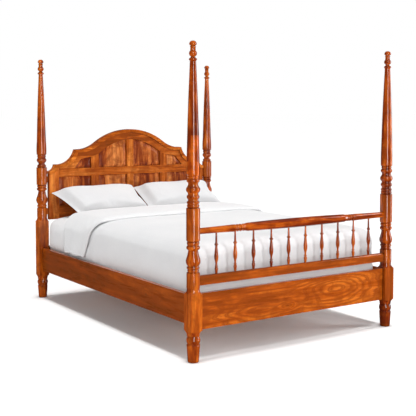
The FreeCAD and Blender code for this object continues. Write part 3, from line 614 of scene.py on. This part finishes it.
def band_point(share, outside, t, lift):
    """A point of the band, a share of the way across the bed."""
    x, z, nx, nz = band_path(share)
    hang = clip((60.0 - z) / 24.0)
    front = 17.6 + 15.5 * hang ** 0.75 + 0.5 * math.sin(x * 0.17)
    rear = 59.6 + 1.2 * hang - 0.5 * math.sin(x * 0.05 + 1.0)
    y = front + (rear - front) * t
    # the hem dips into the cover, unevenly, and thins at its edge
    if not outside and t < 0.12:
        lift -= 0.15 + 0.40 * abs(math.sin(x * 0.13 + 1.9) * math.sin(x * 0.047)) ** 0.7
    if outside and t < 0.03:
        lift -= 0.7 * (1.0 - t / 0.03)
    plump = 0.0
    if outside and 0.0 < t < 1.0:
        plump = 0.35 * math.sin(math.pi * t) ** 0.6
    if lift < 0:
        lift *= 1.0 - 0.75 * clip((hang - 0.15) * 4)
        plump = 0.0
    sway = 0.22 * math.sin(y * 0.8 + share * 5) * hang if outside else 0.0
    edge = 0.45 * math.sin(y * 0.42 + 1.3) * clip((hang - 0.7) / 0.3)
    return x + nx * (lift + plump + sway), y, z + nz * (lift + plump) - edge


def turned_band():
    """The band's mesh, and the points that stay put when it is blown up."""
    across, along = 110, 20
    outer, inner = band_loops(along)
    points = [band_point(n / across, loop is outer, t, lift)
              for n in range(across + 1) for loop in (outer, inner) for t, lift in loop]
    faces = []
    size = len(outer)
    step = 2 * size
    for n in range(across):
        a, b = n * step, (n + 1) * step
        for i in range(size - 1):
            faces.append([a + i, b + i, b + i + 1, a + i + 1])
            faces.append([a + size + i + 1, b + size + i + 1, b + size + i, a + size + i])
        faces.append([a + size, b + size, b, a])
        faces.append([a + size - 1, b + size - 1, b + step - 1, a + step - 1])
    for n, turn in ((0, 1), (across, -1)):
        a = n * step
        for i in range(size - 1):
            faces.append([a + i, a + i + 1, a + size + i + 1, a + size + i][::turn])
    obj = solid("duvet_turn_down", points, faces, cover_cotton)
    held = []
    for n in range(across + 1):
        for i in range(step):
            if i >= size or i == 0 or i > along or n < 2 or n > across - 2:
                held.append(n * step + i)
    return obj, held


band, held = turned_band()
swell(band, 2.5, 0.4, held, slack=0.02)
crease(band, 0.12, (26.0, 16.0, 14.0), 23.0,
       lambda x, y, z: 1.0 if z > 62.0 or abs(x) > 68.3 else 0.0)
smooth_out(band)
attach(band, "duvet")


# pillows: sewn envelopes, stuffed short of one end, leaning on the headboard
PILLOW_ACROSS, PILLOW_DEEP = 48, 28  # cells of the mesh
LONG_HALF, DEEP_HALF, PLUMP_HALF = 32.4, 15.6, 4.3
LEAN = math.atan2(15.7, 25.2)
PILLOW_FOOT, PILLOW_BASE = 0.0645, 0.05745  # limits to the foot and downwards, in metres
MIDDLE_GAP = 0.0002  # how far each pillow stays from the middle of the bed, in metres


def envelope_point(u, v, side, inward):
    """A point of the envelope, u along the pillow and v up its short way. Its outer end is
    drawn in, and its inner end bulges a little."""
    hollow = -0.014 if u * inward > 0 else 0.030
    x = LONG_HALF * u * (1 - hollow * (1 - v * v) * abs(u) ** 3)
    y = DEEP_HALF * v * (1 - 0.055 * (1 - u * u) * abs(v) ** 3)
    full = (max(0.0, 1 - abs(u) ** 3.2) * max(0.0, 1 - abs(v) ** 2.8)) ** 0.52
    return x, y, side * PLUMP_HALF * full


def envelope(name, inward):
    """The case as a flat mesh, and the index of each point by its side, column and row."""
    across, deep = PILLOW_ACROSS, PILLOW_DEEP
    index, points, faces = {}, [], []
    for side in (1, -1):
        for i in range(across + 1):
            for j in range(deep + 1):
                rim = i in (0, across) or j in (0, deep)
                if side < 0 and rim:
                    index[side, i, j] = index[1, i, j]
                    continue
                index[side, i, j] = len(points)
                u, v = 2 * i / across - 1, 2 * j / deep - 1
                points.append(envelope_point(u, v, side, inward))
        for i in range(across):
            for j in range(deep):
                ring = [index[side, i, j], index[side, i + 1, j],
                        index[side, i + 1, j + 1], index[side, i, j + 1]]
                faces.append(ring if side > 0 else ring[::-1])
    return solid(name, points, faces, pillow_cotton), index


def flatten_open_end(co, index):
    """The case is longer than its stuffing: its open end, towards -x, lies flat."""
    for (side, i, j), a in index.items():
        b = index[-1, i, j]
        if side < 0 or a == b:
            continue
        middle = (co[a] + co[b]) / 2
        share = clip((middle.x + LONG_HALF - 3.6) / 4.6)
        keep = 0.10 + 0.90 * (share * share * (3 - 2 * share))
        co[a] = middle + (co[a] - middle) * keep
        co[b] = middle + (co[b] - middle) * keep


def leaned(p, centre_x, taper, slide, droop):
    """A pillow's point once it leans from the mattress up the headboard."""
    t = clip((p.y + DEEP_HALF) / (2 * DEEP_HALF))
    x = p.x * (1 - taper * (1 - t)) + slide * (1 - t)
    bend = 0.8 * (1 - (p.y / DEEP_HALF) ** 2)
    sag = (droop * clip(-p.x / LONG_HALF) ** 3 + 1.5 * clip(p.x / LONG_HALF) ** 4) * t
    thick = p.z - bend
    y = 79.6 + p.y * math.cos(LEAN) * 0.94 - thick * math.sin(LEAN)
    z = 68.4 + p.y * math.sin(LEAN) * 0.98 + thick * math.cos(LEAN) - sag
    return Vector((centre_x + x, y, z))


def pillow(name, centre_x, taper, slide, droop, seed):
    """taper narrows the lower edge, slide moves it sideways and droop lowers the upper
    corner at the open end of the case."""
    inward = -1 if centre_x > 0 else 1
    obj, index = envelope(name, inward)
    swell(obj, 4.5, 1.5, slack=0.03, stiff=12.0, bend=0.3)
    co = [v.co / MM for v in obj.data.vertices]
    wide = LONG_HALF / max(abs(p.x) for p in co)
    tall = DEEP_HALF / max(abs(p.y) for p in co)
    co = [Vector((p.x * wide, p.y * tall, p.z)) for p in co]
    flatten_open_end(co, index)
    for v, p in zip(obj.data.vertices, co):
        v.co = leaned(p, centre_x, taper, slide, droop) * MM
    obj.data.update()
    crease(obj, 0.30, (13.0, 10.0, 9.0), seed)
    for v in obj.data.vertices:
        v.co.z = max(v.co.z, PILLOW_BASE)
        v.co.y = clip(v.co.y, PILLOW_FOOT, HEADBOARD_FACE)
        v.co.x = inward * min(v.co.x * inward, -MIDDLE_GAP)
    smooth_out(obj)
    return obj


for word, centre_x, taper, slide, droop, seed in (("left", -32.35, 0.145, 4.8, 3.6, 5.0),
                                                  ("right", 32.35, 0.03, -0.5, 2.6, 8.5)):
    cushion = pillow("pillow_case_" + word, centre_x, taper, slide, droop, seed)
    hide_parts("pillow_" + word)
    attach(cushion, "pillow_" + word)

# ------------------------------------------------------------------ floor, light and camera
FLOOR_HALF = 60.0  # in metres


def floor_paint():
    """Matt white, very slightly uneven."""
    g = Graph("floor_paint")
    where = g.place((10.0, 10.0, 10.0))
    tint = g.grey(g.noise(where, 0.6, 2.0), [(0.3, 0.985), (0.7, 1.0)])
    return g.surface(tint, 0.9, Specular_IOR_Level=0.1)


floor_mesh = bpy.data.meshes.new("floor")
floor_mesh.from_pydata([(x * FLOOR_HALF, y * FLOOR_HALF, 0)
                        for x, y in ((-1, -1), (1, -1), (1, 1), (-1, 1))], [], [(0, 1, 2, 3)])
floor = bpy.data.objects.new("floor", floor_mesh)
scene.collection.objects.link(floor)
floor.data.materials.append(floor_paint())
floor.visible_glossy = False


def studio():
    """A world that is white where the camera sees past the floor and dimmer as a light.
    Reflections find a dark room with a soft light overhead."""
    world = bpy.data.worlds.new("studio")
    world.use_nodes = True
    tree = world.node_tree
    background = tree.nodes["Background"]
    background.inputs["Color"].default_value = (1.0, 1.0, 1.0, 1.0)
    ray = tree.nodes.new("ShaderNodeLightPath")
    facing = tree.nodes.new("ShaderNodeTexCoord")
    upward = tree.nodes.new("ShaderNodeSeparateXYZ")
    tree.links.new(facing.outputs["Generated"], upward.inputs[0])
    dome = tree.nodes.new("ShaderNodeMapRange")
    dome.interpolation_type = "SMOOTHSTEP"
    tree.links.new(upward.outputs["Z"], dome.inputs["Value"])
    for word, amount in (("From Min", 0.45), ("From Max", 0.95), ("To Min", 0.04),
                         ("To Max", 0.35)):
        dome.inputs[word].default_value = amount
    strength = None
    for kind, share in (("Camera", 1.0), ("Diffuse", 0.30), ("Glossy", dome.outputs[0])):
        part = tree.nodes.new("ShaderNodeMath")
        part.operation = "MULTIPLY_ADD"
        tree.links.new(ray.outputs["Is " + kind + " Ray"], part.inputs[0])
        if kind == "Glossy":
            tree.links.new(share, part.inputs[1])
        else:
            part.inputs[1].default_value = share
        part.inputs[2].default_value = 0.0
        if strength is not None:
            tree.links.new(strength, part.inputs[2])
        strength = part.outputs[0]
    tree.links.new(strength, background.inputs["Strength"])
    return world


scene.world = studio()


def softbox(name, place, aim, size, power):
    light = bpy.data.lights.new(name, "AREA")
    light.shape = "RECTANGLE"
    light.size, light.size_y = size
    light.energy = power
    obj = bpy.data.objects.new(name, light)
    obj.location = place
    direction = Vector(aim) - Vector(place)
    obj.rotation_euler = direction.to_track_quat("-Z", "Y").to_euler()
    scene.collection.objects.link(obj)
    return obj


# lights that give no reflections
sun = bpy.data.lights.new("overhead", "SUN")
sun.energy = 2.36
sun.angle = math.radians(11.0)
overhead = bpy.data.objects.new("overhead", sun)
overhead.location = (0.0, 0.0, 1.5)
scene.collection.objects.link(overhead)
overhead.visible_glossy = False
for name, place, size, power in (("key_right", (0.78, -0.50, 0.36), (0.12, 0.30), 2.9),
                                 ("key_front", (0.22, -0.95, 0.34), (0.12, 0.34), 2.3),
                                 ("low_fill", (-0.25, -0.93, 0.20), (0.50, 0.10), 0.9),
                                 ("left_fill", (-0.95, 0.10, 0.42), (0.40, 0.40), 1.3)):
    softbox(name, place, (0, 0, 0.055), size, power).visible_glossy = False

# tall strips that only show as reflections in the lacquer
for name, place, power in (("strip_front", (-0.34, -0.94, 0.30), 8.0),
                           ("strip_right", (0.84, -0.47, 0.30), 5.0)):
    softbox(name, place, (0, 0, 0.07), (0.16, 0.9), power).visible_diffuse = False

CAMERA_DROP, CAMERA_TURN = 3.0, -33.96  # degrees below level, and from +Y
camera_data = bpy.data.cameras.new("camera")
camera_data.sensor_width = 36.0
camera_data.lens = 75.67
camera_data.shift_y = -0.119
camera_data.clip_start = 0.01
camera = bpy.data.objects.new("camera", camera_data)
camera.location = (-0.3115, -0.4702, 0.1285)
camera.rotation_euler = (math.radians(90 - CAMERA_DROP), 0.0, math.radians(CAMERA_TURN))
scene.collection.objects.link(camera)
scene.camera = camera
scene.view_settings.view_transform = "Standard"
